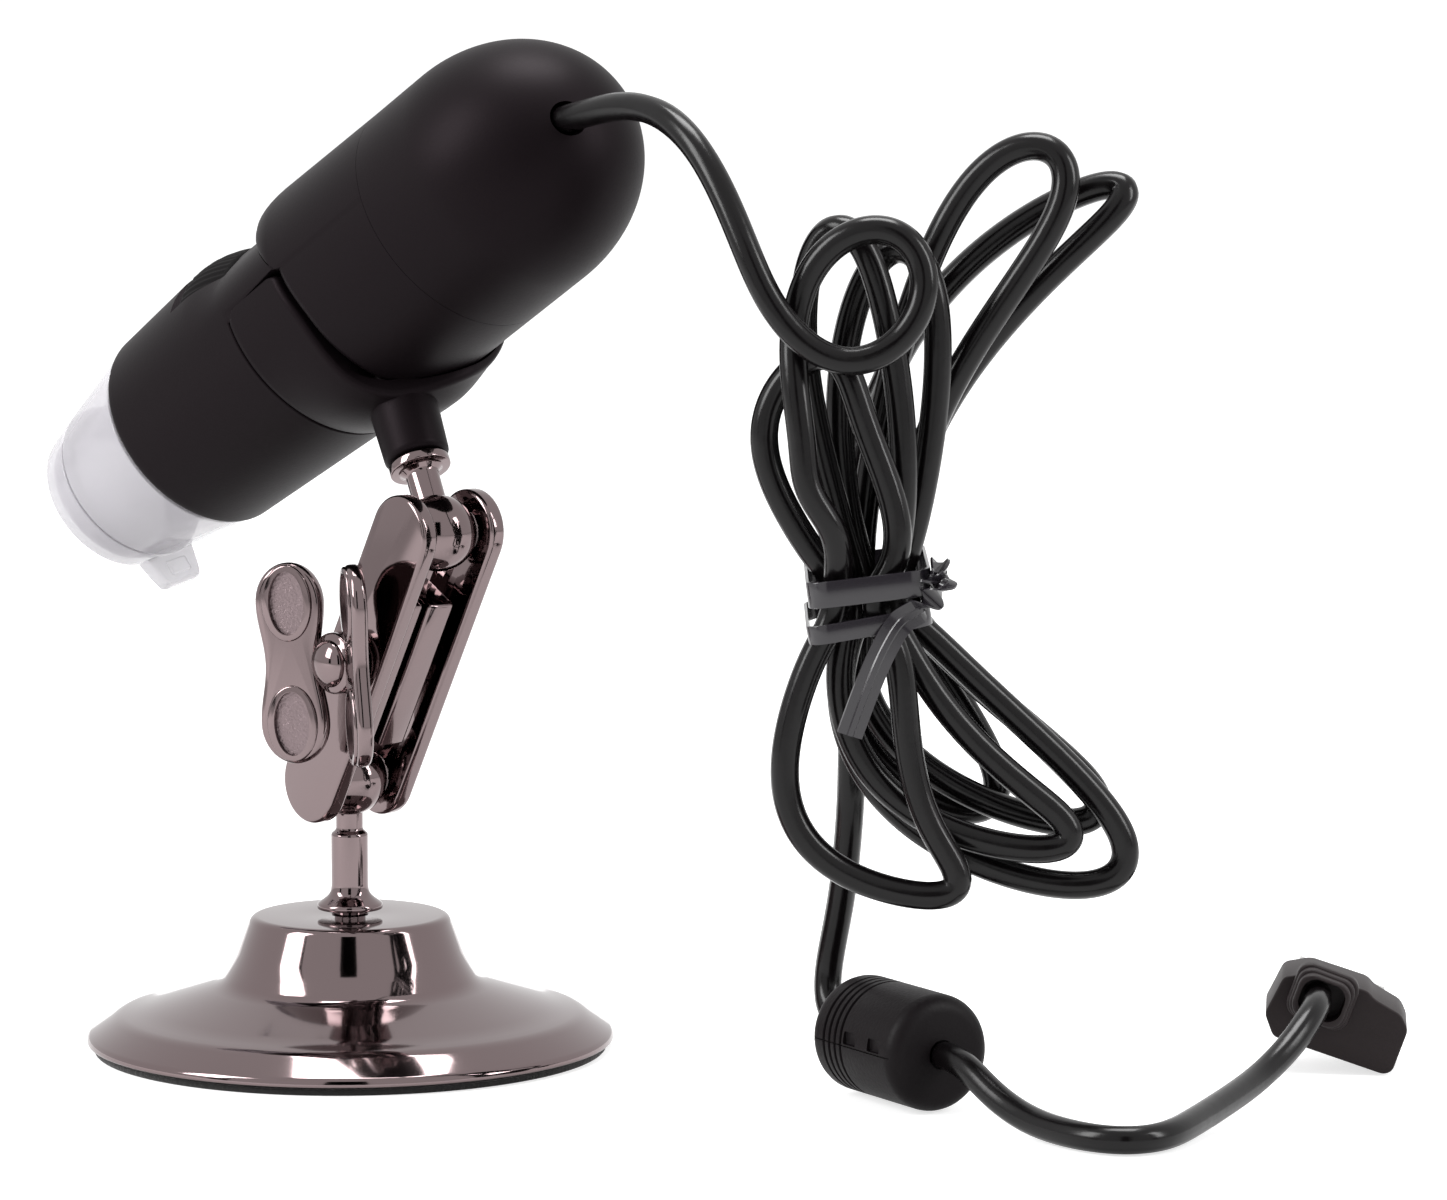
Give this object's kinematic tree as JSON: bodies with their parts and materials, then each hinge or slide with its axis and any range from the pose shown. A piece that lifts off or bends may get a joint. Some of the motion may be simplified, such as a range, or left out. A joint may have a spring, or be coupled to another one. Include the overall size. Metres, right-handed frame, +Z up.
{
  "type": "usb digital microscope",
  "caption": "Handheld digital microscope clipped to a ball-jointed arm on a weighted round base, its cord tied in a hank and ending in a ferrite and a plug.",
  "frame": {"origin": "centre of the base pad's underside, on the table", "axes": "+Z up along the post, +X to the right and +Y away from the viewer of the picture; the arm leans to +X and -Y"},
  "size_m": [0.1824, 0.12, 0.1344],
  "materials": {
    "black_nickel": "mirror-bright black nickel plating",
    "felt": "black felt or foam pad",
    "cast_iron": "rough cast weight, not seen",
    "soft_touch_black": "soft-touch black paint with a faint satin sheen",
    "ribbed_black": "ribbed black",
    "clear_plastic": "clear moulded plastic",
    "lens_glass": "polished lens",
    "green_board": "circuit board",
    "chip_black": "moulded chip",
    "ferrite": "sintered ferrite",
    "led_white": "white lamp",
    "cord_black": "glossy flexible cord",
    "tie_black": "thin plastic strip",
    "moulded_black": "moulded, fine satin grain",
    "bright_steel": "bright steel"
  },
  "bodies": {
    "base": {"base_shell": "black_nickel", "base_pad": "felt", "base_weight": "cast_iron"},
    "post": {"lower_ball_stud": "black_nickel", "post_nut": "black_nickel"},
    "arm": {"plate_near": "black_nickel", "plate_far": "black_nickel", "spacer_bar": "black_nickel", "clamp_screw": "black_nickel", "clamp_washer": "black_nickel"},
    "wing_nut": {"wing_nut": "black_nickel"},
    "stud": {"upper_ball_stud": "black_nickel"},
    "head": {"holder_clip": "soft_touch_black", "front_barrel": "soft_touch_black", "rear_shell": "soft_touch_black", "tail_cap": "soft_touch_black", "clear_nozzle": "clear_plastic", "light_board": "green_board", "led_1": "led_white", "led_2": "led_white", "led_3": "led_white", "led_4": "led_white", "led_5": "led_white", "led_6": "led_white", "led_7": "led_white", "led_8": "led_white", "camera_board": "green_board", "image_sensor": "chip_black", "switch_board": "green_board", "button_switch": "chip_black", "cord_anchor": "moulded_black", "cord_lead": "cord_black", "cord_hank": "cord_black", "cord_drop": "cord_black", "cord_tail": "cord_black", "twist_tie": "tie_black", "ferrite_case_top": "moulded_black", "ferrite_case_bottom": "moulded_black", "ferrite_core": "ferrite", "plug_body": "moulded_black", "plug_shell": "bright_steel", "plug_tongue": "chip_black"},
    "focus_wheel": {"focus_wheel": "ribbed_black"},
    "lens_carriage": {"lens_carriage": "moulded_black", "objective_lens": "lens_glass", "rear_lens": "lens_glass"},
    "nozzle_cap": {"nozzle_cap": "clear_plastic"},
    "snapshot_button": {"snapshot_button": "moulded_black"}
  },
  "joints": [
    {"name": "post_turn", "type": "hinge", "parent": "base", "child": "post", "pos_m": [0, 0, 0.0179], "axis": [0, 0, 1], "continuous": true},
    {"name": "lower_tilt", "type": "hinge", "parent": "post", "child": "arm", "pos_m": [0, 0, 0.0362], "axis": [-0.7431, -0.6691, 0], "range_deg": [-60, 60]},
    {"name": "wing_turn", "type": "hinge", "parent": "arm", "child": "wing_nut", "pos_m": [0.00629, -0.00698, 0.05329], "axis": [-0.7431, -0.6691, 0], "continuous": true},
    {"name": "upper_tilt", "type": "hinge", "parent": "arm", "child": "stud", "pos_m": [0.01257, -0.01396, 0.07038], "axis": [-0.7431, -0.6691, 0], "range_deg": [-30, 40]},
    {"name": "head_turn", "type": "hinge", "parent": "stud", "child": "head", "pos_m": [0.01257, -0.01396, 0.07038], "axis": [-0.26, 0.4972, 0.8278], "range_deg": [-90, 45]},
    {"name": "focus_turn", "type": "hinge", "parent": "head", "child": "focus_wheel", "pos_m": [-0.00859, 0.01462, 0.09148], "axis": [0.6348, -0.5579, 0.5345], "range_deg": [-120, 120]},
    {"name": "focus_slide", "type": "slide", "parent": "head", "child": "lens_carriage", "axis": [0.6348, -0.5579, 0.5345], "range_m": [-0.002, 0.002]},
    {"name": "cap_pull", "type": "slide", "parent": "head", "child": "nozzle_cap", "axis": [-0.6348, 0.5579, -0.5345], "range_m": [0, 0.015]},
    {"name": "button_press", "type": "slide", "parent": "head", "child": "snapshot_button", "axis": [-0.1386, -0.7628, -0.6316], "range_m": [0, 0.0005], "stiffness_N_per_m": 300}
  ],
  "couplings": [
    {"joint": "focus_turn", "follows": "focus_slide", "rad_per_m": 1047}
  ]
}
